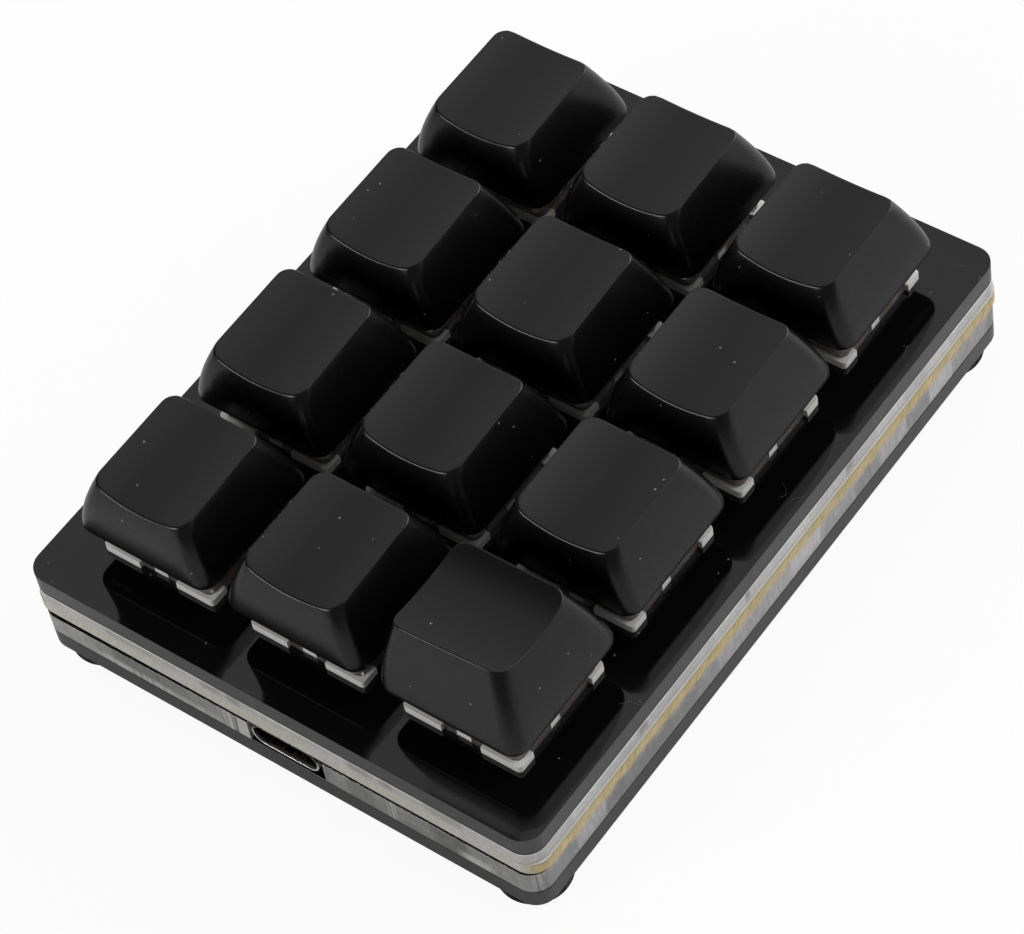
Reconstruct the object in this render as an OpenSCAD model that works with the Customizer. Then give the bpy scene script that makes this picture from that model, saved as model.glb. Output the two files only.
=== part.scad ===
// Twelve-key macro keypad: a stack of acrylic plates around a circuit board, with mechanical switches.
// Millimetres. Z is up, the port side is +Y, and z = 0 is the floor under the feet.

/* [Plates] */
// distance between key centres, both ways
key_pitch = 20; // [19:0.05:21]
// plate left outside the outer key cells, left and right
side_margin = 3.35; // [3:0.05:6]
// plate left outside the outer key cells, front and back
end_margin = 4.3; // [3.5:0.05:8]
// radius of the four plate corners
corner_r = 2.5; // [1.5:0.1:5]
// thickness of the top plate
top_t = 2.6; // [2.4:0.1:3.5]
// thickness of the clear light sheet
sheet_t = 1.75; // [1.2:0.05:3]
// thickness of the circuit board
board_t = 1.6; // [1:0.1:2]
// how far the board stands out past the plates, left and right
board_proud = 0.3; // [0:0.05:0.5]
// thickness of the shim washers between frame and board
washer_t = 0.55; // [0.3:0.05:1]
// height of the clear lower frame
frame_t = 3.3; // [3:0.1:6]
// width of the lower frame's wall
frame_wall = 4; // [3:0.1:5]
// thickness of the bottom plate
bottom_t = 2.6; // [2.4:0.1:4]

/* [Keycaps] */
// side of the square base of a cap
cap_w = 18.1; // [17.4:0.1:18.4]
// corner radius at the base of a cap
cap_r = 2; // [1:0.1:3]
// width of a cap's top, left to right
cap_top_w = 12.3; // [11.5:0.1:13.5]
// length of a cap's top, front to back
cap_top_l = 13.45; // [12:0.05:14.2]
// how far the top's middle lies behind the base's middle
cap_top_shift = 0.48; // [0:0.02:1.2]
// corner radius of a cap's top
cap_top_r = 1.6; // [0.8:0.1:2.5]
// height of a cap
cap_h = 7.95; // [7.5:0.05:9]
// how far the sides bulge past a straight taper at mid height
cap_bulge = 0.3; // [0:0.05:0.5]
// depth of the dish across the top
dish = 0.84; // [0.3:0.02:1.2]
// slope of the top, rising to the front
top_tilt = 2; // [0:0.5:4]
// wall of a cap
cap_wall = 1.2; // [1:0.1:1.3]
// thickness of a cap's top at the middle of the dish
ceiling_t = 1.1; // [0.9:0.1:1.4]
// gap between a cap's skirt and the top plate, key up
cap_rest = 5.05; // [4.9:0.05:6.5]

/* [Taller cap] */
// gap between the taller cap's skirt and the top plate, key up
tall_rest = 5.2; // [4.9:0.05:6.5]
// height of the taller cap, at the back left
tall_h = 8.7; // [7.5:0.05:9.5]
// width of its top, across the dish
tall_top_w = 12; // [11.5:0.1:13.5]
// length of its top, along the dish
tall_top_l = 13.8; // [12:0.05:14.2]
// how far its top's middle lies from its base's middle
tall_top_shift = 1; // [0:0.05:1.4]
// depth of its dish
tall_dish = 0.95; // [0.3:0.05:1.2]
// slope of its top along the dish
tall_tilt = 3; // [0:0.5:4]

/* [Switches] */
// side of a switch body inside the plate cut-out
housing_w = 13.9; // [13.7:0.05:14]
// side of the flange that rests on the plate
flange_w = 15; // [14.8:0.1:15.7]
// thickness of the flange
flange_t = 1; // [0.8:0.1:1.2]
// height of the clear cover's top above the plate
cover_h = 6.6; // [6.3:0.1:6.8]
// key travel
travel = 4; // [3:0.1:4]
// span of the cross that carries the cap
cross_w = 4.1; // [4:0.05:4.15]
// thickness of the cross arms
cross_t = 1.2; // [1.1:0.05:1.3]
// height of the cross above the slider
cross_h = 3.6; // [3.4:0.1:3.8]
// width of the slider, left to right
slider_w = 7; // [6.8:0.1:7.2]
// length of the slider, front to back
slider_l = 5.6; // [5.4:0.1:6]
// diameter of the guide pole under the stem
pole_d = 2.6; // [2.2:0.1:2.7]
// outside diameter of the coil spring
spring_d = 4.5; // [4.3:0.1:4.7]
// wire diameter of the spring
wire_d = 0.32; // [0.25:0.01:0.4]
// turns of the spring
spring_turns = 6; // [5:1:8]

/* [Fasteners and feet] */
// distance of a screw from both plate edges
screw_inset = 4.55; // [4.3:0.05:5]
// thread diameter of the case screws
screw_d = 2; // [1.6:0.1:2.5]
// diameter of a screw head
head_d = 3.8; // [3.4:0.1:4.4]
// height of a screw head
head_h = 1.3; // [1:0.1:1.5]
// outside diameter of a threaded insert
insert_d = 3.2; // [2.9:0.1:3.4]
// length of a threaded insert
insert_h = 1.9; // [1.5:0.1:2]
// diameter of a foot
foot_d = 8.4; // [7:0.1:8.6]
// height of a foot
foot_h = 2; // [1.5:0.1:3]

/* [Port] */
// width of the port's metal shell
usb_w = 8.94; // [8.94:0.01:9.2]
// height of the port's metal shell
usb_h = 3.2; // [3.16:0.01:3.3]
// length of the port's metal shell
usb_l = 7.35; // [6.5:0.05:8]
// space at each side of the shell in the frame
usb_side_gap = 0.53; // [0.3:0.01:1.5]
// how far the port lies left of the middle
usb_shift = 0.7; // [0:0.1:2]

/* [Board parts] */
// side of the controller chip
chip_w = 7; // [5:0.5:8]
// thickness of the controller chip
chip_t = 1.4; // [0.9:0.1:1.5]
// side of the light window of an LED
led_w = 3.2; // [2.8:0.1:3.4]
// length of a diode's body
diode_l = 2.7; // [1.6:0.1:3]
// length of a small chip resistor
chip_l = 1.6; // [1:0.1:2]

/* [Hidden] */
$fn = 48;
fit_gap = 0.05;      // switch body in its cut-outs, pins in their holes
slide_gap = 0.15;    // stem in the cover's opening
pole_gap = 0.1;      // guide pole in its tube
coil_gap = 0.15;     // guide tube in the spring
cross_gap = 0.02;    // cross in the cap's socket
thread_gap = 0.02;   // screw in its insert
screw_gap = 0.1;     // screw through the plates
head_gap = 0.2;      // screw head in its recess
insert_gap = 0.01;   // insert in the top plate
stop_gap = 0.02;     // stem collar under the cover, key up
solder_h = 0.35;

case_w = 3 * key_pitch + 2 * side_margin;
case_l = 4 * key_pitch + 2 * end_margin;

z_bottom = foot_h;
z_frame = z_bottom + bottom_t;
z_washer = z_frame + frame_t;
z_board = z_washer + washer_t;
z_sheet = z_board + board_t;
z_top = z_sheet + sheet_t;
z_plate = z_top + top_t;

cut_w = housing_w + 2 * fit_gap;
body_d = top_t + sheet_t;
usb_slot_w = usb_w + 2 * usb_side_gap;
screw_x = case_w / 2 - screw_inset;
screw_y = case_l / 2 - screw_inset;

// heights inside a switch, counted from the top plate's upper face
floor_t = 1;
z_floor = floor_t - body_d;
cover_t = 1.2;
cover_foot = flange_w - 0.9;
cover_top_w = 10.6;
cover_top_l = 9.8;
cover_wall = 0.9;
collar_t = 1;
collar_w = slider_w + 1.4;
collar_l = slider_l + 1.2;
z_collar = cover_h - cover_t - stop_gap;
z_skirt = 2;
z_seat = z_floor + 2 * travel;
z_cross = cover_h + cross_h;
tube_in = pole_d + 2 * pole_gap;
tube_out = spring_d - 2 * wire_d - 2 * coil_gap;
tube_h = 1.6;
z_pole = z_floor + tube_h - 0.4;
pin_d = 4;
pin_below = 3.1;
z_bore = z_pole - travel - 0.3;
spring_bore = spring_d + 0.3;
well_w = 12;
side_tab = 2.35;
end_tab = 5;
end_rib = 1.9;
side_rib = 1.6;
side_rib_y = 0.65;

// a cap's form: skirt height, height, top width, top length, top shift, dish depth, slope
low_form = [cap_rest, cap_h, cap_top_w, cap_top_l, cap_top_shift, dish, top_tilt];
tall_form = [tall_rest, tall_h, tall_top_w, tall_top_l, tall_top_shift, tall_dish, tall_tilt];
cap_over = 0.7;
cap_mid = 0.42;
post_d = 5.6;
z_post = cover_h + 0.35;

led_y = -5.08;
led_l = led_w - 0.4;
window_gap = 0.2;

// ---------------------------------------------------------------- places

function key_x(c) = (c - 2) * key_pitch;
function key_y(r) = (2.5 - r) * key_pitch;

module at_key(r, c) {
    translate([key_x(c), key_y(r), z_plate]) children();
}

module at_row(r) {
    for (c = [1:3]) at_key(r, c) children();
}

module at_screws() {
    for (sx = [-1, 1])
        for (sy = [-1, 1])
            translate([sx * screw_x, sy * screw_y, 0]) children();
}

// ---------------------------------------------------------------- plain shapes

module rounded(w, l, r) {
    square([w - 2 * r, l], center = true);
    square([w, l - 2 * r], center = true);
    for (sx = [-1, 1])
        for (sy = [-1, 1])
            translate([sx * (w / 2 - r), sy * (l / 2 - r)]) circle(r);
}

module slab(w, l, r, z, t) {
    translate([0, 0, z]) linear_extrude(t) rounded(w, l, r);
}

module box(w, l, z, t) {
    translate([-w / 2, -l / 2, z]) cube([w, l, t]);
}

module rod(d, z, h) {
    translate([0, 0, z]) cylinder(d = d, h = h);
}

// ---------------------------------------------------------------- plates

module top_plate() {
    color([0.03, 0.03, 0.035])
    difference() {
        slab(case_w, case_l, corner_r, z_top, top_t);
        for (r = [1:4])
            for (c = [1:3])
                translate([key_x(c), key_y(r), 0]) box(cut_w, cut_w, z_top - 1, top_t + 2);
        at_screws() rod(insert_d + 2 * insert_gap, z_top - 1, insert_h + 1);
    }
}

module light_sheet() {
    color([0.86, 0.86, 0.84])
    difference() {
        slab(case_w, case_l, corner_r, z_sheet, sheet_t);
        for (r = [1:4])
            for (c = [1:3])
                translate([key_x(c), key_y(r), 0]) box(cut_w, cut_w, z_sheet - 1, sheet_t + 2);
        at_screws() rod(screw_d + 2 * screw_gap, z_sheet - 1, sheet_t + 2);
    }
}

module circuit_board() {
    color([0.78, 0.7, 0.45])
    difference() {
        slab(case_w + 2 * board_proud, case_l, corner_r, z_board, board_t);
        for (r = [1:4])
            for (c = [1:3])
                translate([key_x(c), key_y(r), 0]) {
                    rod(pin_d + 2 * fit_gap, z_board - 1, board_t + 2);
                    for (p = contact_places())
                        translate([p[0], p[1], 0]) rod(1.5, z_board - 1, board_t + 2);
                    translate([0, led_y, 0])
                        box(led_w + 2 * window_gap, led_l + 2 * window_gap, z_board - 1, board_t + 2);
                }
        at_screws() rod(screw_d + 2 * screw_gap, z_board - 1, board_t + 2);
    }
}

module lower_frame() {
    color([0.8, 0.81, 0.8])
    difference() {
        slab(case_w, case_l, corner_r, z_frame, frame_t);
        difference() {
            slab(case_w - 2 * frame_wall, case_l - 2 * frame_wall, 1.5, z_frame - 1, frame_t + 2);
            at_screws() rod(2 * screw_inset, z_frame - 1.5, frame_t + 3);
        }
        translate([-usb_shift, case_l / 2, 0]) box(usb_slot_w, 4 * frame_wall, z_frame - 1, frame_t + 2);
        at_screws() rod(screw_d + 2 * screw_gap, z_frame - 1, frame_t + 2);
    }
}

module bottom_plate() {
    color([0.05, 0.05, 0.055])
    difference() {
        slab(case_w, case_l, corner_r, z_bottom, bottom_t);
        at_screws() {
            rod(screw_d + 2 * screw_gap, z_bottom - 1, bottom_t + 2);
            rod(head_d + 2 * head_gap, z_bottom - 1, head_h + 1);
        }
    }
}

module feet() {
    color([0.07, 0.07, 0.07])
    at_screws() rotate_extrude() polygon([
        [0, 0], [foot_d / 2 - 0.3, 0], [foot_d / 2, 0.3], [foot_d / 2, foot_h], [0, foot_h]
    ]);
}

// ---------------------------------------------------------------- fasteners

module case_screws() {
    tip = z_top + insert_h - 0.1;
    color([0.55, 0.55, 0.57])
    at_screws() difference() {
        union() {
            rod(head_d, z_bottom, head_h);
            rod(screw_d, z_bottom + 0.1, tip - z_bottom - 0.1);
        }
        for (a = [0, 90]) rotate([0, 0, a]) box(2, 0.5, z_bottom - 0.1, 0.8);
    }
}

module threaded_inserts() {
    color([0.8, 0.62, 0.3])
    at_screws() difference() {
        rod(insert_d, z_top, insert_h);
        rod(screw_d + 2 * thread_gap, z_top - 1, insert_h + 2);
        for (z = [0.6, 1.2])
            translate([0, 0, z_top + z])
                rotate_extrude() translate([insert_d / 2 - 0.12, 0]) square([1, 0.15]);
    }
}

module shim_washers() {
    color([0.85, 0.85, 0.84])
    at_screws() difference() {
        rod(5, z_washer, washer_t);
        rod(screw_d + 2 * screw_gap, z_washer - 1, washer_t + 2);
    }
}

// ---------------------------------------------------------------- keycap
// The side of a cap is two tapers that meet at mid height. Its top is cut by a wide cylinder that
// lies front to back, so that the top is dished across. The socket for the cross is in a round post.

module cap_slice(form, k, inset, bulge) {
    w = cap_w + (form[2] - cap_w) * k - 2 * inset + 2 * bulge;
    l = cap_w + (form[3] - cap_w) * k - 2 * inset + 2 * bulge;
    r = max(0.6, cap_r + (cap_top_r - cap_r) * k - inset);
    translate([0, form[4] * k, form[0] + form[1] * k])
        linear_extrude(0.01) rounded(w, l, r, $fn = 20);
}

module cap_solid(form, inset, k_low, k_high) {
    hull() {
        cap_slice(form, k_low, inset, 0);
        cap_slice(form, cap_mid, inset, cap_bulge);
    }
    hull() {
        cap_slice(form, cap_mid, inset, cap_bulge);
        cap_slice(form, k_high, inset, 0);
    }
}

module keycap(form) {
    z_low = form[0] + form[1] - form[5];
    z_ceiling = z_low - ceiling_t;
    dish_r = pow(form[2] / 2, 2) / (2 * form[5]) + form[5] / 2;
    difference() {
        union() {
            difference() {
                cap_solid(form, 0, 0, 1 + cap_over / form[1]);
                difference() {
                    cap_solid(form, cap_wall, -0.1, 1);
                    box(30, 30, z_ceiling, 20);
                }
            }
            rod(post_d, z_post, z_ceiling - z_post + 0.2);
        }
        for (a = [0, 90]) rotate([0, 0, a])
            box(cross_w + 2 * cross_gap, cross_t + 2 * cross_gap, z_post - 1, z_cross - z_post + 1);
        translate([0, form[4], z_low + dish_r])
            rotate([90 - form[6], 0, 0]) cylinder(r = dish_r, h = 40, center = true, $fn = 120);
    }
}

// ---------------------------------------------------------------- switch
// The cap and stem slide down together. The pole under the stem runs in a tube in the base, and the
// spring stands around both, from the floor of the base to the seat inside the slider.

// x, y and turn of the two contacts
function contact_places() = [[-3.81, 2.54, 90], [2.54, 5.08, 0]];

module stem() {
    difference() {
        union() {
            box(slider_w, slider_l, z_skirt, cover_h - z_skirt);
            box(collar_w, collar_l, z_collar - collar_t, collar_t);
        }
        rod(spring_bore, z_skirt - 1, z_seat - z_skirt + 1);
    }
    for (a = [0, 90]) rotate([0, 0, a]) box(cross_w, cross_t, cover_h - 0.1, cross_h + 0.1);
    rod(pole_d, z_pole, z_seat - z_pole + 0.1);
}

// wire centre line: one closed turn at each end, the rest rising evenly
module spring() {
    n = 10;
    m = 4;
    steps = n * spring_turns;
    r = (spring_d - wire_d) / 2;
    low = z_floor + wire_d / 2;
    high = z_seat - wire_d / 2;
    dead = wire_d / (high - low);
    function rise(t) =
        t < 1 / spring_turns ? dead * t * spring_turns
        : t > 1 - 1 / spring_turns ? 1 - dead * (1 - t) * spring_turns
        : dead + (1 - 2 * dead) * (t - 1 / spring_turns) / (1 - 2 / spring_turns);
    points = [
        for (i = [0:steps], j = [0:m - 1])
            let (
                a = 360 * i / n,
                b = 90 + 360 * j / m,
                q = r + wire_d / 2 * cos(b),
                z = low + (high - low) * rise(i / steps) + wire_d / 2 * sin(b)
            )
            [q * cos(a), q * sin(a), z]
    ];
    sides = [
        for (i = [0:steps - 1], j = [0:m - 1])
            [i * m + j, i * m + (j + 1) % m, (i + 1) * m + (j + 1) % m, (i + 1) * m + j]
    ];
    split = [for (f = sides, h = [0, 1]) h == 0 ? [f[0], f[2], f[1]] : [f[0], f[3], f[2]]];
    ends = [[for (j = [0:m - 1]) j], [for (j = [m - 1:-1:0]) steps * m + j]];
    polyhedron(points = points, faces = concat(split, ends), convexity = 6);
}

// The places between the flange's tabs, less a gap on each side, from one distance out to another. A
// rib is left standing in the middle of the front and back, and a little off the middle at the sides.
module notches(gap, inner, outer, low, high, ribs = true) {
    side = flange_w / 2 - side_tab - gap;
    end = flange_w / 2 - end_tab - gap;
    difference() {
        for (s = [-1, 1]) {
            translate([s * (inner + outer) / 2, 0, 0]) box(outer - inner, 2 * side, low, high - low);
            translate([0, s * (inner + outer) / 2, 0]) box(2 * end, outer - inner, low, high - low);
        }
        if (ribs) {
            box(end_rib + 2 * gap, 4 * flange_w, low - 1, high - low + 2);
            translate([0, side_rib_y, 0])
                box(4 * flange_w, side_rib + 2 * gap, low - 1, high - low + 2);
        }
    }
}

module switch_base() {
    difference() {
        union() {
            box(housing_w, housing_w, -body_d, body_d);
            slab(flange_w, flange_w, 0.5, 0, flange_t);
            rod(pin_d, -body_d - pin_below, pin_below + 0.1);
        }
        box(well_w, well_w, z_floor, body_d + 5);
        notches(0, well_w / 2 - 0.1, flange_w, 0, flange_t + 1);
        notches(0, housing_w / 2, flange_w, 0, flange_t + 1, false);
        rod(tube_in, z_bore, 20);
        translate([0, led_y, 0]) box(4.6, 1.7, -body_d - 1, floor_t + 2);
        for (p = contact_places())
            translate([p[0], p[1], 0]) rotate([0, 0, p[2]]) box(1.3, 0.4, -body_d - 1, floor_t + 2);
    }
    difference() {
        rod(tube_out, z_floor - 0.1, tube_h + 0.1);
        rod(tube_in, z_floor - 1, tube_h + 2);
    }
}

module cover_solid(inset, low, top) {
    hull() {
        slab(cover_foot - 2 * inset, cover_foot - 2 * inset, 0.8, low, 0.6 + flange_t - low, $fn = 8);
        slab(cover_top_w - 2 * inset, cover_top_l - 2 * inset, 0.8, top - 0.6, 0.6, $fn = 8);
    }
}

module switch_cover() {
    difference() {
        union() {
            cover_solid(0, flange_t, cover_h);
            notches(fit_gap, cover_foot / 2 - cover_wall, cover_foot / 2, fit_gap, flange_t + 0.1);
        }
        difference() {
            cover_solid(cover_wall, flange_t - 0.5, cover_h + 1);
            box(30, 30, cover_h - cover_t, 10);
        }
        box(slider_w + 2 * slide_gap, slider_l + 2 * slide_gap, 0, 10);
        translate([0, led_y + 0.9, 0]) box(3.4, 1.5, 3, 10);
    }
}

// one stamped strip: a leaf inside the base and a pin soldered through the board
module contact(leaf_top) {
    box(1.1, 0.2, -body_d - pin_below, body_d + pin_below + leaf_top);
    translate([0, 0, -body_d - board_t - solder_h]) cylinder(d1 = 1.3, d2 = 2.2, h = solder_h);
}

// ---------------------------------------------------------------- port and board parts

module stadium(w, h, y, l) {
    translate([0, y, 0]) rotate([90, 0, 180]) linear_extrude(l) {
        square([w - h, h], center = true);
        for (s = [-1, 1]) translate([s * (w - h) / 2, 0]) circle(h / 2);
    }
}

usb_front = case_l / 2;
usb_wall = 0.25;
usb_z = z_board - usb_h / 2;

module usb_shell() {
    color([0.72, 0.72, 0.72])
    translate([-usb_shift, 0, 0]) {
        translate([0, usb_front - usb_l, usb_z]) difference() {
            stadium(usb_w, usb_h, 0, usb_l);
            stadium(usb_w - 2 * usb_wall, usb_h - 2 * usb_wall, 0.4, usb_l);
        }
        for (s = [-1, 1], y = [1.6, 5.2])
            translate([s * (usb_w / 2 - 0.3), usb_front - y, 0]) box(1.8, 1, z_board - 0.3, 0.3);
    }
}

module usb_tongue() {
    inner_h = usb_h - 2 * usb_wall;
    color([0.06, 0.06, 0.06])
    translate([-usb_shift, usb_front - usb_l, usb_z]) {
        stadium(usb_w - 2 * usb_wall - 0.1, inner_h - 0.02, 0.4, 2);
        translate([0, usb_l / 2 + 0.3, 0]) box(0.74 * usb_w, usb_l - 2.95, -0.35, 0.7);
    }
}

module microcontroller() {
    color([0.1, 0.1, 0.1])
    translate([key_pitch / 2, key_pitch, 0]) {
        box(chip_w, chip_w, z_board - 0.1 - chip_t, chip_t);
        for (a = [0, 90, 180, 270]) rotate([0, 0, a])
            for (i = [-5:5]) translate([i * 0.5, chip_w / 2 + 0.5, 0]) box(0.22, 1.2, z_board - 0.3, 0.3);
        for (a = [0, 90, 180, 270]) rotate([0, 0, a])
            for (i = [-5:5]) translate([i * 0.5, chip_w / 2 + 0.1, 0]) box(0.22, 0.4, z_board - 0.8, 0.6);
    }
}

module diodes() {
    color([0.12, 0.12, 0.12])
    for (r = [1:4], c = [1:3])
        translate([key_x(c) - 6.3, key_y(r) - 2, 0]) {
            box(1.6, diode_l, z_board - 1.1, 1);
            box(0.7, diode_l + 1, z_board - 0.2, 0.2);
        }
}

module leds() {
    color([0.92, 0.92, 0.86])
    for (r = [1:4], c = [1:3])
        translate([key_x(c), key_y(r) + led_y, 0]) {
            box(led_w, led_l, z_board - 0.4, 1.6);
            box(led_w + 2.2, 1.8, z_board - 0.25, 0.25);
        }
}

module passives() {
    color([0.7, 0.6, 0.45])
    union() {
        translate([key_pitch / 2, 0.62 * key_pitch, 0]) box(3.2, 2.5, z_board - 0.8, 0.8);
        translate([-key_pitch / 2, 1.85 * key_pitch, 0]) box(2.9, 1.5, z_board - 1.1, 1.1);
        for (s = [-1, 1]) translate([s * 7.4, 1.9 * key_pitch, 0]) box(0.8, chip_l, z_board - 0.7, 0.7);
        for (i = [-1.5, -0.5, 0.5, 1.5])
            translate([key_pitch / 2 - 1 + i * 2, 1.36 * key_pitch, 0]) box(0.8, chip_l, z_board - 0.7, 0.7);
        for (r = [1:4])
            translate([key_pitch / 2 + 6.2, key_y(r) - 7.6, 0]) box(chip_l, 0.8, z_board - 0.6, 0.6);
    }
}

// ---------------------------------------------------------------- rows and single keys

module cap_at(r, c) {
    color([0.1, 0.1, 0.105]) at_key(r, c) keycap(low_form);
}

module stem_at(r, c) {
    color([0.5, 0.12, 0.08]) at_key(r, c) stem();
}

module spring_at(r, c) {
    color([0.75, 0.75, 0.76]) at_key(r, c) spring();
}

module bases_in(r) {
    color([0.87, 0.86, 0.82]) at_row(r) switch_base();
}

module covers_in(r) {
    color([0.6, 0.56, 0.52]) at_row(r) switch_cover();
}

module switch_contacts() {
    color([0.82, 0.68, 0.42])
    for (r = [1:4]) at_row(r)
        for (p = contact_places())
            translate([p[0], p[1], 0]) rotate([0, 0, p[2]]) contact(p[2] == 0 ? 0.8 : 0);
}

// this cap is taller than the others and is pushed on a quarter turn from them
module keycap_r1_c1() {
    color([0.1, 0.1, 0.105]) at_key(1, 1) rotate([0, 0, -90]) keycap(tall_form);
}
module keycap_r1_c2() { cap_at(1, 2); }
module keycap_r1_c3() { cap_at(1, 3); }
module keycap_r2_c1() { cap_at(2, 1); }
module keycap_r2_c2() { cap_at(2, 2); }
module keycap_r2_c3() { cap_at(2, 3); }
module keycap_r3_c1() { cap_at(3, 1); }
module keycap_r3_c2() { cap_at(3, 2); }
module keycap_r3_c3() { cap_at(3, 3); }
module keycap_r4_c1() { cap_at(4, 1); }
module keycap_r4_c2() { cap_at(4, 2); }
module keycap_r4_c3() { cap_at(4, 3); }

module stem_r1_c1() { stem_at(1, 1); }
module stem_r1_c2() { stem_at(1, 2); }
module stem_r1_c3() { stem_at(1, 3); }
module stem_r2_c1() { stem_at(2, 1); }
module stem_r2_c2() { stem_at(2, 2); }
module stem_r2_c3() { stem_at(2, 3); }
module stem_r3_c1() { stem_at(3, 1); }
module stem_r3_c2() { stem_at(3, 2); }
module stem_r3_c3() { stem_at(3, 3); }
module stem_r4_c1() { stem_at(4, 1); }
module stem_r4_c2() { stem_at(4, 2); }
module stem_r4_c3() { stem_at(4, 3); }

module spring_r1_c1() { spring_at(1, 1); }
module spring_r1_c2() { spring_at(1, 2); }
module spring_r1_c3() { spring_at(1, 3); }
module spring_r2_c1() { spring_at(2, 1); }
module spring_r2_c2() { spring_at(2, 2); }
module spring_r2_c3() { spring_at(2, 3); }
module spring_r3_c1() { spring_at(3, 1); }
module spring_r3_c2() { spring_at(3, 2); }
module spring_r3_c3() { spring_at(3, 3); }
module spring_r4_c1() { spring_at(4, 1); }
module spring_r4_c2() { spring_at(4, 2); }
module spring_r4_c3() { spring_at(4, 3); }

module switch_bases_r1() { bases_in(1); }
module switch_bases_r2() { bases_in(2); }
module switch_bases_r3() { bases_in(3); }
module switch_bases_r4() { bases_in(4); }

module switch_covers_r1() { covers_in(1); }
module switch_covers_r2() { covers_in(2); }
module switch_covers_r3() { covers_in(3); }
module switch_covers_r4() { covers_in(4); }

// ---------------------------------------------------------------- drawing

keycap_r1_c1();
keycap_r1_c2();
keycap_r1_c3();
keycap_r2_c1();
keycap_r2_c2();
keycap_r2_c3();
keycap_r3_c1();
keycap_r3_c2();
keycap_r3_c3();
keycap_r4_c1();
keycap_r4_c2();
keycap_r4_c3();
stem_r1_c1();
stem_r1_c2();
stem_r1_c3();
stem_r2_c1();
stem_r2_c2();
stem_r2_c3();
stem_r3_c1();
stem_r3_c2();
stem_r3_c3();
stem_r4_c1();
stem_r4_c2();
stem_r4_c3();
spring_r1_c1();
spring_r1_c2();
spring_r1_c3();
spring_r2_c1();
spring_r2_c2();
spring_r2_c3();
spring_r3_c1();
spring_r3_c2();
spring_r3_c3();
spring_r4_c1();
spring_r4_c2();
spring_r4_c3();
switch_bases_r1();
switch_bases_r2();
switch_bases_r3();
switch_bases_r4();
switch_covers_r1();
switch_covers_r2();
switch_covers_r3();
switch_covers_r4();
switch_contacts();
top_plate();
light_sheet();
circuit_board();
lower_frame();
bottom_plate();
feet();
case_screws();
threaded_inserts();
shim_washers();
usb_shell();
usb_tongue();
microcontroller();
diodes();
leds();
passives();
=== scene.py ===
import math

import bmesh
import bpy
import numpy as np
from mathutils import Matrix


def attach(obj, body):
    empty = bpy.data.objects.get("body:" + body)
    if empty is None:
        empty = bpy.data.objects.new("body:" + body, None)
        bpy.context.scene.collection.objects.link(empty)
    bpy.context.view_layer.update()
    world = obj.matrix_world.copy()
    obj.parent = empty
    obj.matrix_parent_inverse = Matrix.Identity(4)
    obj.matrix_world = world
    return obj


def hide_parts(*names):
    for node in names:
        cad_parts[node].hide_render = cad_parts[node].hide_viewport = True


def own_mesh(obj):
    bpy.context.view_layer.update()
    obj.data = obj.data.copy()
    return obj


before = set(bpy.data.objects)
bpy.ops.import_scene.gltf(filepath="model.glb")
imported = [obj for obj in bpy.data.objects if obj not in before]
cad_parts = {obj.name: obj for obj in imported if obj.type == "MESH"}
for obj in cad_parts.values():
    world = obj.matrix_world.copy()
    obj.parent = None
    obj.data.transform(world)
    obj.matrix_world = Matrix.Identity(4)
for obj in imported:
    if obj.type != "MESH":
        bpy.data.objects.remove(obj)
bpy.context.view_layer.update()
MM = 0.001

# ---------------------------------------------------------------- camera
# It looks down on the port's corner at 52 degrees through a long lens, rolled a little to the left.

azimuth, elevation, roll = np.radians([224.89, 52.01, -11.52])
camera_spot = (-0.190401, 0.193556, 0.352707)
toward = np.array([
    math.sin(azimuth) * math.cos(elevation),
    -math.cos(azimuth) * math.cos(elevation),
    math.sin(elevation),
])
across = np.cross([0, 0, 1], toward)
across /= np.linalg.norm(across)
upward = np.cross(toward, across)
turned = np.stack([
    math.cos(roll) * across + math.sin(roll) * upward,
    math.cos(roll) * upward - math.sin(roll) * across,
    toward,
], axis=1)
lens = bpy.data.cameras.new("camera")
lens.sensor_width = 36
lens.lens = 141.59
lens.clip_start = 0.01
camera = bpy.data.objects.new("camera", lens)
bpy.context.collection.objects.link(camera)
camera.matrix_world = Matrix.Translation(camera_spot) @ Matrix(turned.tolist()).to_4x4()
bpy.context.scene.camera = camera
bpy.context.scene.view_settings.view_transform = "Standard"


# ---------------------------------------------------------------- studio
# A pale table under soft light: a wide soft box low behind the front, a weak one above it and a small
# strong one over the port side. The room is white behind the front and dim behind the port.

class Value:
    """A shader socket on which Python's sums add Math nodes."""

    def __init__(self, tree, socket):
        self.tree, self.socket = tree, socket

    def math(self, operation, *values):
        node = self.tree.nodes.new("ShaderNodeMath")
        node.operation = operation
        for socket, value in zip(node.inputs, values):
            plug(self.tree, socket, value)
        return Value(self.tree, node.outputs[0])

    def __add__(self, other): return self.math("ADD", self, other)
    def __sub__(self, other): return self.math("SUBTRACT", self, other)
    def __rsub__(self, other): return self.math("SUBTRACT", other, self)
    def __mul__(self, other): return self.math("MULTIPLY", self, other)
    def __truediv__(self, other): return self.math("DIVIDE", self, other)
    def __pow__(self, other): return self.math("POWER", self, other)
    def __gt__(self, other): return self.math("GREATER_THAN", self, other)
    def __lt__(self, other): return self.math("LESS_THAN", self, other)
    __radd__, __rmul__ = __add__, __mul__


def plug(tree, socket, value):
    """Link a value to a socket, or set the socket to a number or a colour."""
    if isinstance(value, Value):
        tree.links.new(value.socket, socket)
    elif isinstance(value, tuple) and socket.type == "RGBA" and len(value) == 3:
        socket.default_value = (*value, 1)
    else:
        socket.default_value = value


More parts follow.
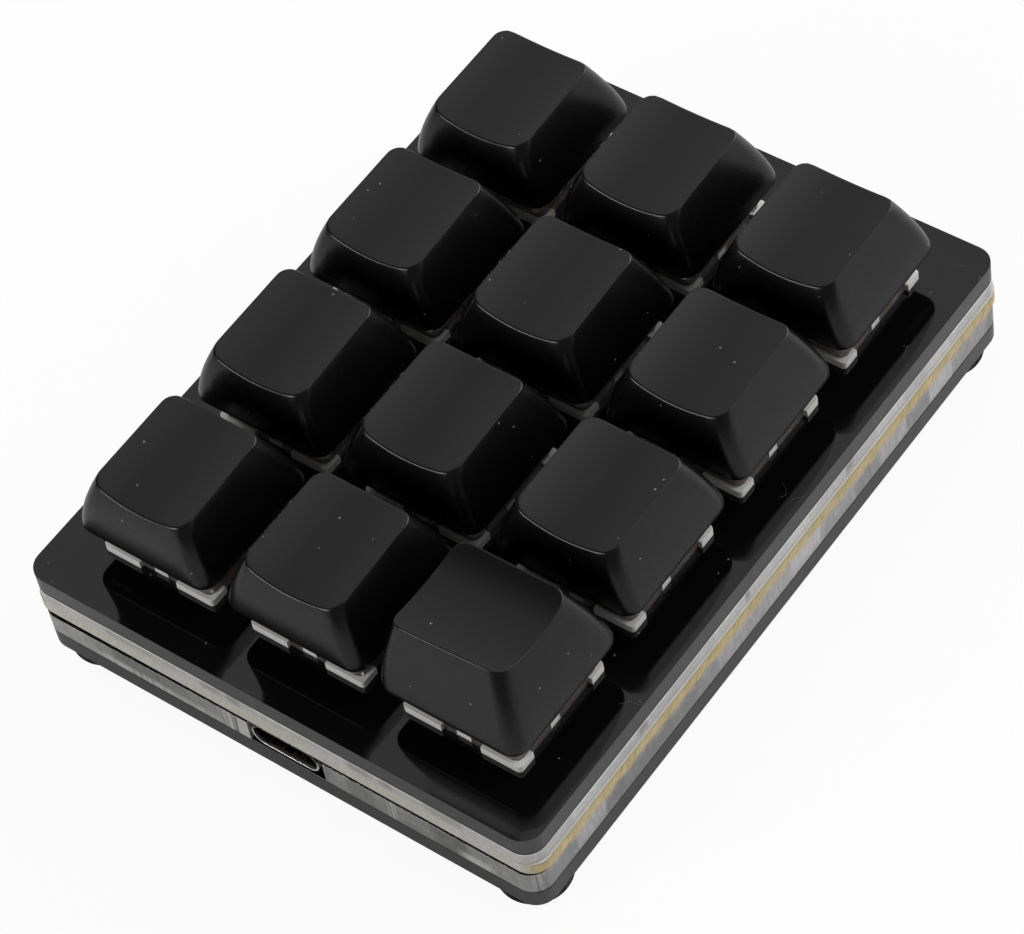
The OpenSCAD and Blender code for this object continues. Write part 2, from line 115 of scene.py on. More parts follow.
class Finish:
    """One material or the world. add() makes a node: its settings first, then its sockets."""

    def __init__(self, owner):
        owner.use_nodes = True
        self.owner, self.tree = owner, owner.node_tree
        self.tree.nodes.clear()

    def add(self, kind, settings=None, sockets=None, out=0):
        node = self.tree.nodes.new("ShaderNode" + kind)
        for name, value in (settings or {}).items():
            if name == "stops":
                ramp = node.color_ramp.elements
                for place, _ in value[1:-1]:
                    ramp.new(place)
                for element, (place, colour) in zip(ramp, value):
                    element.position, element.color = place, (*colour, 1)
            else:
                setattr(node, name, value)
        for name, value in (sockets or {}).items():
            plug(self.tree, node.inputs[name], value)
        return Value(self.tree, node.outputs[out])

    def also(self, value, out):
        """Another output of the node that the value comes from."""
        return Value(self.tree, value.socket.node.outputs[out])

    def parts(self, vector):
        split = self.add("SeparateXYZ", None, {0: vector})
        return [self.also(split, i) for i in range(3)]

    def place(self):
        """Object coordinates in millimetres."""
        spot = self.add("TexCoord", out="Object")
        return self.add("VectorMath", {"operation": "SCALE"}, {0: spot, "Scale": 1000.0})

    def stretched(self, spot, x, y, z):
        return self.add("VectorMath", {"operation": "MULTIPLY"}, {0: spot, 1: (x, y, z)})

    def facing(self):
        """How far the surface faces left or right, front or back, and up or down, with its sign."""
        return self.parts(self.add("TexCoord", out="Normal"))

    def noise(self, spot, scale, detail=3.0, rough=0.5):
        sockets = {"Vector": spot, "Scale": scale, "Detail": detail, "Roughness": rough}
        return self.add("TexNoise", None, sockets)

    def blend(self, amount, low, high):
        """A colour between two colours."""
        return self.add("Mix", {"data_type": "RGBA"}, {0: amount, 6: low, 7: high}, out=2)

    def between(self, amount, low, high, start=0.0, stop=1.0):
        """A number between two numbers as amount goes from start to stop, held inside them."""
        return self.add("MapRange", {"clamp": True}, {"Value": amount, 1: start, 2: stop, 3: low, 4: high})

    def size(self, value):
        """A number without its sign."""
        return self.add("Math", {"operation": "ABSOLUTE"}, {0: value})

    def within(self, value, low, high, soft):
        """One where value lies from low to high and nought outside, with soft ends."""
        rise = self.between(value, 0.0, 1.0, low - soft, low + soft)
        return rise * self.between(value, 1.0, 0.0, high - soft, high + soft)

    def bands(self, value, spans, soft):
        """One in each span from low to high and nought between the spans, with soft ends."""
        first, *others = [self.within(value, low, high, soft) for low, high in spans]
        return sum(others, first)

    def dust(self, spot, spacing, radius, share, hairs):
        """Specks of dust of a radius, in a share of the cells, and a few short hairs as strong as hairs."""
        sockets = {"Vector": spot, "Scale": 1.0 / spacing, "Randomness": 1.0}
        cell = self.add("TexVoronoi", None, sockets, out="Distance")
        chance = self.parts(self.also(cell, "Color"))[0]
        ragged = self.noise(spot, 9.0, 1.0) > 0.5
        speck = (cell < radius / spacing) * (chance < share) * ragged
        if not hairs:
            return speck
        thread = self.size(self.noise(spot, 0.4, 0.0) - 0.5) < 0.004
        scarce = self.noise(spot, 0.23, 0.0) > 0.72
        return speck + thread * scarce * hairs

    def bump(self, height, depth, strength=1.0):
        return self.add("Bump", None, {"Strength": strength, "Distance": depth * MM, "Height": height})

    def surface(self, shader, kind="Material"):
        output = self.tree.nodes.new("ShaderNodeOutput" + kind)
        self.tree.links.new(shader.socket, output.inputs["Surface"])
        return self.owner


def white_for_the_lens(finish, shader, amount):
    """The shader, mixed with plain white by amount where the camera sees it, straight or through glass."""
    straight = finish.add("LightPath", out="Is Camera Ray")
    seen = straight + finish.also(straight, "Is Transmission Ray")
    kind = "Emission" if finish.owner.id_type == "MATERIAL" else "Background"
    glow = finish.add(kind, None, {0: (1, 1, 1), "Strength": 1.0})
    return finish.add("MixShader", None, {0: seen * amount, 1: shader, 2: glow})


room = Finish(bpy.context.scene.world or bpy.data.worlds.new("room"))
bpy.context.scene.world = room.owner
x, y, z = room.parts(room.add("TexCoord", out="Generated"))
greys = ((0.0, 0.76), (0.37, 0.76), (0.43, 0.5), (0.47, 0.14), (1.0, 0.1))
walls = room.add("ValToRGB", {"stops": [(stop, (grey,) * 3) for stop, grey in greys]}, {0: y * 0.5 + 0.5})
light = room.add("Background", None, {0: walls, "Strength": room.between(x, 1.5, 0.94, 0.1, 0.36)})
room.surface(white_for_the_lens(room, light, 1.0), "World")

# The table lies a hair below the feet, so that its face and theirs are not one.
reach, below = 3, -2e-5
table = bpy.data.meshes.new("table")
table.from_pydata([
    (-reach, -reach, below), (reach, -reach, below), (reach, reach, below), (-reach, reach, below),
], [], [(0, 1, 2, 3)])
table = bpy.data.objects.new("table", table)
bpy.context.collection.objects.link(table)
paper = Finish(bpy.data.materials.new("table_paper"))
pulp = paper.noise(paper.place(), 0.3)
matt = paper.add("BsdfPrincipled", None, {
    "Base Color": paper.blend(pulp, (0.84, 0.84, 0.84), (0.88, 0.88, 0.88)),
    "Roughness": 0.6,
})
table.data.materials.append(paper.surface(white_for_the_lens(paper, matt, 0.93)))


def soft_box(name, direction, distance, size, radiance):
    """A rectangular lamp that faces the keypad's middle from a direction, as bright as its radiance."""
    way = np.array(direction, float)
    way /= np.linalg.norm(way)
    lamp = bpy.data.lights.new(name, "AREA")
    lamp.shape = "RECTANGLE"
    lamp.size, lamp.size_y = size
    lamp.energy = radiance * math.pi * size[0] * size[1]
    box = bpy.data.objects.new(name, lamp)
    bpy.context.collection.objects.link(box)
    right = np.cross([0, 0, 1], way)
    right /= np.linalg.norm(right)
    turn = np.stack([right, np.cross(way, right), way], axis=1)
    box.matrix_world = Matrix.Translation((way * distance).tolist()) @ Matrix(turn.tolist()).to_4x4()


soft_box("lamp_back", (-0.35, -1.0, 0.52), 0.9, (1.0, 0.66), 2.2)
soft_box("lamp_above", (-0.2, -0.45, 0.87), 0.9, (0.35, 0.35), 0.7)
soft_box("lamp_left", (0.38, 0.83, 0.45), 0.7, (0.25, 0.25), 9.8)


# ---------------------------------------------------------------- keycaps
# Twelve blank caps moulded in black plastic: square at the skirt, dished across the top, with sides
# that bulge a little and a finely sparked skin. The one at the back left is from a taller mould and is
# turned by a quarter. Each is pushed on its stem's cross.

PLATE_TOP = 14.4
PITCH = 20.0
KEYS = [(r, c) for r in (1, 2, 3, 4) for c in (1, 2, 3)]


def key_spot(r, c):
    """The middle of a key on the top plate, in millimetres."""
    return np.array([(c - 2) * PITCH, (2.5 - r) * PITCH, PLATE_TOP])


def make(name, points, faces):
    """A mesh object from points in millimetres and rows of corner numbers."""
    mesh = bpy.data.meshes.new(name)
    mesh.from_pydata((points * MM).tolist(), [], faces)
    mesh.shade_smooth()
    piece = bpy.data.objects.new(name, mesh)
    bpy.context.collection.objects.link(piece)
    return piece


def rings_to_faces(rings, count):
    """Faces between rings of points that each go once around, the first and last ring closed to a point."""
    i = np.arange(rings - 1)[:, None] * count
    j = np.arange(count)[None, :]
    k = (j + 1) % count
    quads = np.stack([i + j, i + count + j, i + count + k, i + k], axis=-1).reshape(-1, 4)
    first, last = rings * count, rings * count + 1
    top = np.stack([np.full(count, first), j[0], k[0]], axis=-1)
    low = np.stack([np.full(count, last), (rings - 1) * count + k[0], (rings - 1) * count + j[0]], axis=-1)
    return quads.tolist() + top.tolist() + low.tolist()


def outline(width, length, radius, angle):
    """Distance from the middle to a rectangle with rounded corners, at each angle: the ray meets a
    straight side, or the corner's circle where it passes between the circle's two ends."""
    c, s = np.abs(np.cos(angle)), np.abs(np.sin(angle))
    a, b = width / 2, length / 2
    straight = np.minimum(a / np.maximum(c, 1e-9), b / np.maximum(s, 1e-9))
    u, v = a - radius, b - radius
    along = c * u + s * v
    round_ = along + np.sqrt(np.maximum(along ** 2 - u ** 2 - v ** 2 + radius ** 2, 0))
    slope = np.arctan2(s, c)
    corner = (slope > np.arctan2(v, a)) & (slope < np.arctan2(b, u))
    return np.where(corner, round_, straight)


def cap_points(skirt, tall, top_w, top_l, shift, dip, slope, steep, crisp):
    """One cap about its key's centre, in millimetres over the plate: the height of its skirt, its own
    height, the size of its top, how far the top lies back, its dish's depth and slope in degrees,
    how much more its back bulges, and the axis (0 for x, 1 for y) that its crisper edges lie across.

    Angle runs around and a second number runs from the middle of the top, over its edge, down the
    side, round the skirt and up inside to the post and the socket of the cross. The side's width at a
    height share k is a straight taper plus a bulge that is nought at both ends and most at 0.42, and
    the back bulges more by the amount steep, most at two thirds. The top is a wide cylinder that lies
    front to back and sinks toward the back. The edge between them is a quadratic curve that starts
    and ends on both."""
    base, base_r, top_r, bulge = 18.1, 2.0, 1.6, 0.3
    wall, roof, hem = 1.2, 1.1, 0.2
    soft_edge, crisp_edge = 0.2, 0.07
    post_r, post_low, socket_top = 2.8, 6.95, 10.2
    cross_long, cross_thin = 2.07, 0.62
    tilt = math.tan(math.radians(slope))
    dish_r = (top_w / 2) ** 2 / (2 * dip) + dip / 2
    ceiling = skirt + tall - dip - roof

    # The angles stand closer together where a corner is.
    quarter = np.concatenate([
        np.linspace(0, 0.66, 9),
        np.linspace(0.69, 0.88, 11),
        np.linspace(0.91, math.pi / 2, 9)[:-1],
    ])
    angle = np.concatenate([quarter + q * math.pi / 2 for q in range(4)])
    ux, uy = np.cos(angle), np.sin(angle)
    square_on = np.clip((np.abs((ux, uy)[crisp]) - 0.72) / 0.1, 0, 1)
    fillet = soft_edge - (soft_edge - crisp_edge) * square_on

    def side(k, inset):
        """A ring around the side at height share k, moved inwards by the inset."""
        k = np.broadcast_to(k, angle.shape)
        up = np.clip(k, 0, 1)
        held = up ** 0.8
        out = 2 * (bulge * 4 * held * (1 - held) - inset)
        width = base + (top_w - base) * k + out
        length = base + (top_l - base) * k + out
        radius = np.maximum(base_r + (top_r - base_r) * k - inset, 0.5)
        reach = outline(width, length, radius, angle)
        back = steep * 6.75 * up ** 2 * (1 - up) * np.clip(uy / 0.7, 0, 1)
        return np.stack([ux * reach, uy * reach + shift * k + back, skirt + tall * k], axis=1)

    def dished(x, y):
        """The height of the dished top over a place."""
        return skirt + tall - dip + dish_r - np.sqrt(dish_r ** 2 - x ** 2) - tilt * (y - shift)

    def level(corners, z):
        """A flat ring at one height."""
        return np.column_stack([corners, np.full(len(angle), z)])

    def curve(begin, bend, end, steps):
        """Rings along a quadratic curve that starts toward the bend and ends coming from it."""
        return [begin * (1 - t) ** 2 + bend * 2 * t * (1 - t) + end * t ** 2 for t in steps]

    # The height share at which the side meets the dish, found by going up or down by what is missing.
    share = np.full(angle.shape, 1.0)
    for _ in range(12):
        edge = side(share, 0)
        share = share + (dished(edge[:, 0], edge[:, 1]) - edge[:, 2]) / tall
    edge = side(share, 0)
    edge[:, 2] = dished(edge[:, 0], edge[:, 1])

    # The top from its middle outwards, its edge, the side down to the hem, and the hem.
    rings = []
    middle = np.array([0, shift])
    start = 1 - fillet / np.linalg.norm(edge[:, :2] - middle, axis=1)
    for s in (0.04, 0.2, 0.4, 0.6, 0.75, 0.88, 0.96, 1.0):
        flat = middle + (edge[:, :2] - middle) * (start * s)[:, None]
        rings.append(np.column_stack([flat, dished(flat[:, 0], flat[:, 1])]))
    high_k, hem_k = share - fillet / tall, hem / tall
    rings += curve(rings[-1], edge, side(high_k, 0), np.linspace(0, 1, 7)[1:])
    rings += [side(high_k * (1 - t) + hem_k * t, 0) for t in np.linspace(0, 1, 15)[1:]]
    rings += curve(side(hem_k, 0), side(0.0, 0.0), side(0.0, hem), (0.3, 0.7, 1.0))

    # The inner wall up to the ceiling, the post down from it, and the socket up inside the post.
    post = np.column_stack([ux, uy]) * post_r
    ray_x, ray_y = 1 / np.maximum(np.abs(ux), 1e-9), 1 / np.maximum(np.abs(uy), 1e-9)
    upright = np.minimum(cross_thin * ray_x, cross_long * ray_y)
    lying = np.minimum(cross_long * ray_x, cross_thin * ray_y)
    cross = np.column_stack([ux, uy]) * np.maximum(lying, upright)[:, None]
    rings += [side(k, wall) for k in (0.0, 0.05, *np.linspace(0.2, (ceiling - skirt) / tall, 5))]
    rings += [level(post * 1.25, ceiling), level(post, ceiling), level(post, ceiling - 0.1)]
    rings += [level(post, post_low), level(post * 0.96, post_low)]
    rings += [level(cross, post_low), level(cross, post_low + 0.15), level(cross, socket_top)]
    points = np.concatenate(rings + [[[0, shift, dished(0, shift)]], [[0, 0, socket_top]]])
    return points, rings_to_faces(len(rings), len(angle))


def moulded_black():
    """A satin skin with fine sparks, slow patches of gloss and a few specks of dust."""
    finish = Finish(bpy.data.materials.new("moulded_black_plastic"))
    spot = finish.place()
    skin = finish.noise(spot, 7.0, 2.0, 0.6)
    patch = finish.noise(spot, 0.16, 2.0)
    dust = finish.dust(spot, spacing=2.4, radius=0.14, share=0.6, hairs=0.0)
    colour = finish.blend(skin, (0.0018, 0.0018, 0.002), (0.0034, 0.0034, 0.0036))
    return finish.surface(finish.add("BsdfPrincipled", None, {
        "Base Color": finish.blend(dust * 0.6, colour, (0.42, 0.41, 0.38)),
        "Roughness": finish.between(patch, 0.22, 0.28) + skin * 0.04,
        "IOR": 1.39,
        "Normal": finish.bump(skin, 0.006, 0.5),
    }))


low_cap, cap_faces = cap_points(
    skirt=5.05, tall=7.95, top_w=12.3, top_l=13.45, shift=0.48, dip=0.84, slope=2, steep=0.36, crisp=0)
high_cap, cap_faces = cap_points(
    skirt=5.2, tall=8.7, top_w=12.0, top_l=13.8, shift=1.0, dip=0.95, slope=3, steep=0.0, crisp=1)
high_cap = np.stack([high_cap[:, 1], -high_cap[:, 0], high_cap[:, 2]], axis=1)
cap_plastic = moulded_black()
for r, c in KEYS:
    points = high_cap if (r, c) == (1, 1) else low_cap
    cap = make(f"cap_r{r}_c{c}", points + key_spot(r, c), cap_faces)
    cap.data.materials.append(cap_plastic)
    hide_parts(f"keycap_r{r}_c{c}")
    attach(cap, f"key_r{r}_c{c}")


# ---------------------------------------------------------------- stems and springs
# The stem is moulded in red-brown plastic with a cross on top, and slides down on its guide pole. A
# coil spring of drawn wire stands around the pole, from the floor of the switch to the stem's seat.

stem_finish = Finish(bpy.data.materials.new("stem_plastic"))
spot = stem_finish.place()
cloud = stem_finish.noise(spot, 1.2)
stem_plastic = stem_finish.surface(stem_finish.add("BsdfPrincipled", None, {
    "Base Color": stem_finish.blend(cloud, (0.19, 0.035, 0.022), (0.26, 0.05, 0.03)),
    "Roughness": stem_finish.between(cloud, 0.3, 0.42),
    "Normal": stem_finish.bump(stem_finish.noise(spot, 8.0), 0.004, 0.4),
}))

wire_finish = Finish(bpy.data.materials.new("spring_wire"))
drawn = wire_finish.noise(wire_finish.stretched(wire_finish.place(), 2.0, 2.0, 30.0), 1.0)
spring_wire = wire_finish.surface(wire_finish.add("BsdfPrincipled", None, {
    "Base Color": wire_finish.blend(drawn, (0.5, 0.49, 0.47), (0.66, 0.65, 0.63)),
    "Roughness": wire_finish.between(drawn, 0.22, 0.38),
    "Metallic": 1.0,
}))

SPRING_FOOT, SPRING_HEAD = -3.35, 4.65


def dress(node, finish):
    """A CAD piece keeps its shape and gets its finish."""
    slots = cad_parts[node].data.materials
    slots.clear()
    slots.append(finish)


def coil_points(low, high, across=4.5, wire=0.32, turns=6, steps=24, around=8):
    """A helix of round wire. One number runs along the wire and one around it. The wire's height is
    flat for the first and last turn, which lie closed, and rises evenly between."""
    t = np.linspace(0, 1, turns * steps + 1)
    turn = t * turns
    open_ = np.clip((turn - 1) / (turns - 2), 0, 1)
    dead = wire / (high - low - wire)
    rise = dead * np.clip(turn, 0, 1) + (1 - 2 * dead) * open_ + dead * np.clip(turn - turns + 1, 0, 1)
    z = low + wire / 2 + (high - low - wire) * rise
    a = 2 * math.pi * turn
    b = 2 * math.pi * np.arange(around) / around
    radius = (across - wire) / 2
    reach = radius + wire / 2 * np.cos(b)[None, :]
    x, y = reach * np.cos(a)[:, None], reach * np.sin(a)[:, None]
    points = np.stack([x, y, z[:, None] + wire / 2 * np.sin(b)[None, :]], axis=-1).reshape(-1, 3)
    ends = a[[0, -1]]
    middles = np.stack([radius * np.cos(ends), radius * np.sin(ends), z[[0, -1]]], axis=1)
    return np.concatenate([points, middles]), rings_to_faces(len(t), around)


coil, coil_faces = coil_points(SPRING_FOOT, SPRING_HEAD)
for r, c in KEYS:
    dress(f"stem_r{r}_c{c}", stem_plastic)
    spring = make(f"coil_r{r}_c{c}", coil + key_spot(r, c), coil_faces)
    spring.data.materials.append(spring_wire)
    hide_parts(f"spring_r{r}_c{c}")
    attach(spring, "case")
    x, y, z = (key_spot(r, c) * MM).tolist()
    z + SPRING_FOOT * MM
    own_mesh(spring)


# ---------------------------------------------------------------- switch bodies
# Each switch snaps into the top plate by a white nylon base, whose flange shows as tabs around the
# cap. A clear cover is clipped over it, and two stamped strips run down to the board.

def eased(node, name, width, angle=32, segments=2):
    """The node's own solid with every edge sharper than the angle rounded by the width in millimetres."""
    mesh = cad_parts[node].data.copy()
    mesh.materials.clear()
    if "custom_normal" in mesh.attributes:
        mesh.attributes.remove(mesh.attributes["custom_normal"])
    work = bmesh.new()
    work.from_mesh(mesh)
    bmesh.ops.remove_doubles(work, verts=work.verts, dist=2e-6)
    bmesh.ops.dissolve_limit(work, angle_limit=math.radians(1), verts=work.verts, edges=work.edges)
    work.to_mesh(mesh)
    work.free()
    mesh.shade_smooth()
    piece = bpy.data.objects.new(name, mesh)
    bpy.context.collection.objects.link(piece)
    bevel = piece.modifiers.new("eased_edges", "BEVEL")
    bevel.width, bevel.segments = width * MM, segments
    bevel.limit_method, bevel.angle_limit = "ANGLE", math.radians(angle)
    bevel.harden_normals = True
    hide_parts(node)
    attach(piece, "case")
    return piece


def metal(name, low, high, rough_low, rough_high, scale):
    """Bare metal between two colours, duller where it is paler."""
    finish = Finish(bpy.data.materials.new(name))
    wear = finish.noise(finish.place(), scale)
    return finish.surface(finish.add("BsdfPrincipled", None, {
        "Base Color": finish.blend(wear, low, high),
        "Roughness": finish.between(wear, rough_low, rough_high),
        "Metallic": 1.0,
    }))


nylon_finish = Finish(bpy.data.materials.new("white_nylon"))
spot = nylon_finish.place()
cloud = nylon_finish.noise(spot, 0.5)
white_nylon = nylon_finish.surface(nylon_finish.add("BsdfPrincipled", None, {
    "Base Color": nylon_finish.blend(cloud, (0.82, 0.81, 0.77), (0.9, 0.89, 0.86)),
    "Roughness": nylon_finish.between(cloud, 0.4, 0.5),
    "Subsurface Weight": 0.1,
    "Subsurface Scale": 0.0008,
    "Normal": nylon_finish.bump(nylon_finish.noise(spot, 6.0), 0.006, 0.5),
}))

cover_finish = Finish(bpy.data.materials.new("clear_cover"))
flow = cover_finish.noise(cover_finish.stretched(cover_finish.place(), 0.4, 0.4, 2.5), 1.0)
clear_cover = cover_finish.surface(cover_finish.add("BsdfPrincipled", None, {
    "Base Color": cover_finish.blend(flow, (0.3, 0.26, 0.25), (0.42, 0.37, 0.35)),
    "Roughness": cover_finish.between(flow, 0.12, 0.22),
    "IOR": 1.5,
    "Transmission Weight": 0.85,
    "Normal": cover_finish.bump(flow, 0.01, 0.3),
}))

for r in (1, 2, 3, 4):
    bases = eased(f"switch_bases_r{r}", f"bases_r{r}", 0.16, segments=3)
    bases.data.materials.append(white_nylon)
    dress(f"switch_covers_r{r}", clear_cover)
dress("switch_contacts", metal("contact_strip", (0.6, 0.4, 0.2), (0.75, 0.56, 0.32), 0.25, 0.45, 1.5))


# ---------------------------------------------------------------- black plates
# The top and bottom plates are cut from glossy black acrylic. Their faces are polished and sink a
# little toward the rim. Their cut edges are a duller grey with fine marks of the cutter, and carry a
# dark line of painted shadow, with glue, along each seam between the layers.

def black_acrylic():
    """Glossy and dusty where it faces up or down, dull on its cut edge, with painted shadow and glue
    along the seams, which lie at heights of 11.8 under the top plate and 4.6 over the bottom plate."""
    finish = Finish(bpy.data.materials.new("black_acrylic"))
    spot = finish.place()
    x, y, z = finish.parts(spot)
    edge = finish.between(finish.size(finish.facing()[2]), 1.0, 0.0)
    marks = finish.noise(finish.stretched(spot, 3.0, 3.0, 0.35), 1.0, 4.0, 0.6)
    haze = finish.noise(spot, 0.05, 2.0)
    dust = finish.dust(spot, spacing=2.6, radius=0.14, share=0.6, hairs=0.4)
    # Painted shadow, with glue: the cut edge turns nearly black along the seams under the top plate and
    # over the bottom plate.
    joint_shadow_and_glue = finish.within(z, 11.5, 11.97, 0.12) + finish.within(z, 4.46, 5.0, 0.1)
    end_lip = finish.between(finish.size(y), 0.0, 4.0, 41.0, 45.0) ** 3.0 * 0.002
    side_lip = finish.between(finish.size(x), 0.0, 4.0, 29.5, 33.5) ** 3.0 * 0.0005
    face = finish.blend(haze, (0.0022, 0.0022, 0.0024), (0.0035, 0.0035, 0.0037))
    face = finish.blend(dust * 0.5, face, (0.4, 0.39, 0.37))
    cut = finish.blend(marks, (0.016, 0.0155, 0.0152), (0.044, 0.043, 0.042))
    cut = finish.blend(joint_shadow_and_glue * 0.9, cut, (0.002, 0.002, 0.002))
    return finish.surface(finish.add("BsdfPrincipled", None, {
        "Base Color": finish.blend(edge, face, cut),
        "Roughness": finish.between(edge, 0.035, 0.34) + marks * 0.03 + joint_shadow_and_glue * edge * 0.4,
        "IOR": 1.49,
        "Normal": finish.bump(marks * edge * 0.02 + (end_lip + side_lip) * (1.0 - edge), 1.0),
    }))


acrylic = black_acrylic()
for node, name in (("top_plate", "plate_top"), ("bottom_plate", "plate_bottom")):
    plate = eased(node, name, 0.13)
    plate.data.materials.append(acrylic)


# ---------------------------------------------------------------- clear layers
# The light sheet under the top plate spreads the lamps of the board, and the lower frame is the wall
# around the board's parts. Both are clear acrylic whose sawn walls are hazy, in soft blocks and lines.

# Heights are in millimetres: the frame stands from 4.6 to 7.9 and the sheet lies from 10.05 to 11.8.

def clear_acrylic(name, haze, paint):
    """Clear faces and hazy walls. paint gives the walls' colour from the finish, the place, how far a
    wall faces front or back, random shares in soft blocks, lengthwise lines and a fine noise."""
    finish = Finish(bpy.data.materials.new(name))
    spot = finish.place()
    x, y, z = place = finish.parts(spot)
    _, ny, nz = finish.facing()
    fine = finish.noise(finish.stretched(spot, 2.2, 2.2, 0.6), 1.0, 3.0, 0.6)
    lines = finish.noise(finish.stretched(spot, 0.09, 0.09, 3.2), 1.0, 2.0, 0.5)
    blocks = finish.parts(finish.add(
        "TexVoronoi",
        {"voronoi_dimensions": "1D", "feature": "SMOOTH_F1"},
        {"W": (x + y + fine * 0.8) / 5.2, "Scale": 1.0, "Randomness": 1.0, "Smoothness": 0.2},
        out="Color",
    ))
    clear = finish.add("BsdfPrincipled", None, {
        "Base Color": (0.97, 0.97, 0.96),
        "Roughness": finish.between(fine, 0.04, 0.2),
        "IOR": 1.49,
        "Transmission Weight": 1.0,
        "Normal": finish.bump(fine, 0.03, 0.5),
    })
    hazy = finish.add("BsdfPrincipled", None, {
        "Base Color": paint(finish, place, finish.size(ny), blocks, lines, fine),
        "Roughness": finish.between(fine, 0.3, 0.5),
        "IOR": 1.49,
    })
    wall = finish.between(finish.size(nz), 1.0, 0.0, 0.3, 0.7)
    hazed = finish.between(fine, haze, 1.0) * wall
    return finish.surface(finish.add("MixShader", None, {0: hazed, 1: clear, 2: hazy}))


def sheet_walls(finish, place, ny, blocks, lines, fine):
    """Pale, with a painted highlight along the top and squares of painted shade where a lamp's window lies
    behind.
    """
    x, y, z = place
    share = finish.between(blocks[0] * 0.4 + lines * 0.3 + fine * 0.3, 0.0, 1.0, 0.25, 0.75)
    # Painted shade: the wall is dimmed where a window in the sheet lies behind it.
    window_shade = finish.bands(y, [(24.1, 25.6), (5.2, 6.0)], 0.25) + finish.within(y, -14.6, -13.2, 0.3)
    side = finish.blend(share, (0.46, 0.47, 0.47), (0.68, 0.69, 0.68))
    side = finish.blend(blocks[1] * 0.25, side, (0.62, 0.54, 0.57))
    side = finish.blend(window_shade * finish.between(z, 0.3, 0.8, 10.4, 10.9), side, (0.27, 0.25, 0.26))

    window_shade = finish.bands(x, [(7.4, 9.8), (4.6, 6.2), (-12.4, -9.6), (-15.4, -14.0)], 0.25)
    back = finish.blend(share, (0.36, 0.352, 0.34), (0.56, 0.55, 0.525))
    back = finish.blend(finish.between(z, 0.7, 0.0, 10.1, 10.9), back, (0.56, 0.55, 0.5))
    back = finish.blend(window_shade * finish.between(z, 0.1, 0.75, 10.2, 10.8), back, (0.27, 0.265, 0.26))

    walls = finish.blend(finish.between(ny, 0.0, 1.0, 0.45, 0.85), side, back)
    # Painted highlight: a bright line along the top of the wall.
    top_highlight = finish.between(z, 0.0, 0.9, 11.48, 11.6) * (1.0 - blocks[1] * 0.9)
    return finish.blend(top_highlight, walls, (0.93, 0.92, 0.9))


def frame_walls(finish, place, ny, blocks, lines, fine):
    """Mottled in blocks at the sides with a painted warm reflection of the board under it, streaked
    lengthwise at the back with painted glow, and with painted shadow at the seam below.
    """
    x, y, z = place
    warm = finish.noise(finish.stretched(finish.place(), 0.5, 0.5, 0.7), 1.0, 2.0)
    scored = finish.noise(finish.stretched(finish.place(), 5.0, 5.0, 0.15), 1.0, 1.0, 0.5)

    # The sides: light and dark blocks, dimmer low down, a painted reflection of the board's yellow edge
    # under the board, and a painted shadow line at the seam below.
    share = finish.between(blocks[0] * 0.62 + fine * 0.26 + lines * 0.12, 0.0, 1.0, 0.28, 0.74)
    # Painted reflection: a warm tint where the board's yellow edge would mirror in the acrylic.
    board_reflection = finish.between(z, 0.0, 0.85, 6.7, 7.8) * finish.between(warm, 0.1, 1.0, 0.36, 0.62)
    # Painted shadow: a black line where the frame meets the bottom plate.
    joint_shadow = finish.between(z, 0.85, 0.0, 4.62, 4.85) * finish.between(y, 1.0, 0.45, -14.0, 10.0)
    side = finish.blend(share, (0.2, 0.193, 0.193), (0.66, 0.63, 0.64))
    side = finish.blend(finish.between(z, 0.3, 0.0, 4.8, 6.2), side, (0.2, 0.195, 0.195))
    side = finish.blend(blocks[1] * 0.45, side, (0.45, 0.47, 0.5))
    side = finish.blend(board_reflection, side, (0.68, 0.53, 0.34))
    side = finish.blend(joint_shadow, side, (0.012, 0.01, 0.01))

    # The back: streaks, with painted light glowing through the acrylic in stretches low down, at the end by
    # the port and toward the far corner, and lighter scored lines.
    share = finish.between(lines * 0.5 + blocks[0] * 0.3 + fine * 0.2, 0.0, 0.75, 0.3, 0.75)
    ragged = finish.between(fine, 0.5, 1.0, 0.35, 0.6)
    # Painted light: these lit stretches stand for light carried through the clear acrylic; only the scored
    # lines are marks of the saw.
    bright = finish.within(x, 8.6, 25.0, 1.0) * finish.between(z, 0.85, 0.0, 5.4, 6.0) * ragged
    bright = bright + finish.within(x, -27.4, -23.6, 0.7) * finish.between(z, 0.85, 0.0, 5.6, 6.3)
    bright = bright + finish.within(x, 4.0, 5.8, 0.08) * 0.9 + finish.within(x, 26.0, 33.0, 0.8) * 0.25
    lined = finish.within(x, 6.3, 8.2, 0.3) + finish.within(x, -15.3, -14.3, 0.2)
    bright = bright + lined * finish.between(scored, 0.0, 1.0, 0.42, 0.55)
    crack = finish.within(x + z * 0.14, 6.72, 6.88, 0.05) * 0.9
    dim = crack + finish.within(x, -12.2, -8.8, 0.3) * 0.4
    back = finish.blend(share, (0.14, 0.137, 0.134), (0.46, 0.455, 0.445))
    back = finish.blend(bright, back, (0.62, 0.61, 0.59))
    back = finish.blend(dim, back, (0.06, 0.058, 0.055))

    walls = finish.blend(finish.between(ny, 0.0, 1.0, 0.45, 0.9), side, back)
    corner_lines = finish.within(ny, 0.2, 0.85, 0.1) * finish.between(scored, 0.0, 0.8, 0.5, 0.62)
    return finish.blend(corner_lines, walls, (0.12, 0.115, 0.11))


sheet = eased("light_sheet", "sheet_clear", 0.08)
sheet.data.materials.append(clear_acrylic("hazy_acrylic", 0.75, sheet_walls))
wall = eased("lower_frame", "frame_clear", 0.08)
wall.data.materials.append(clear_acrylic("streaked_acrylic", 0.6, frame_walls))

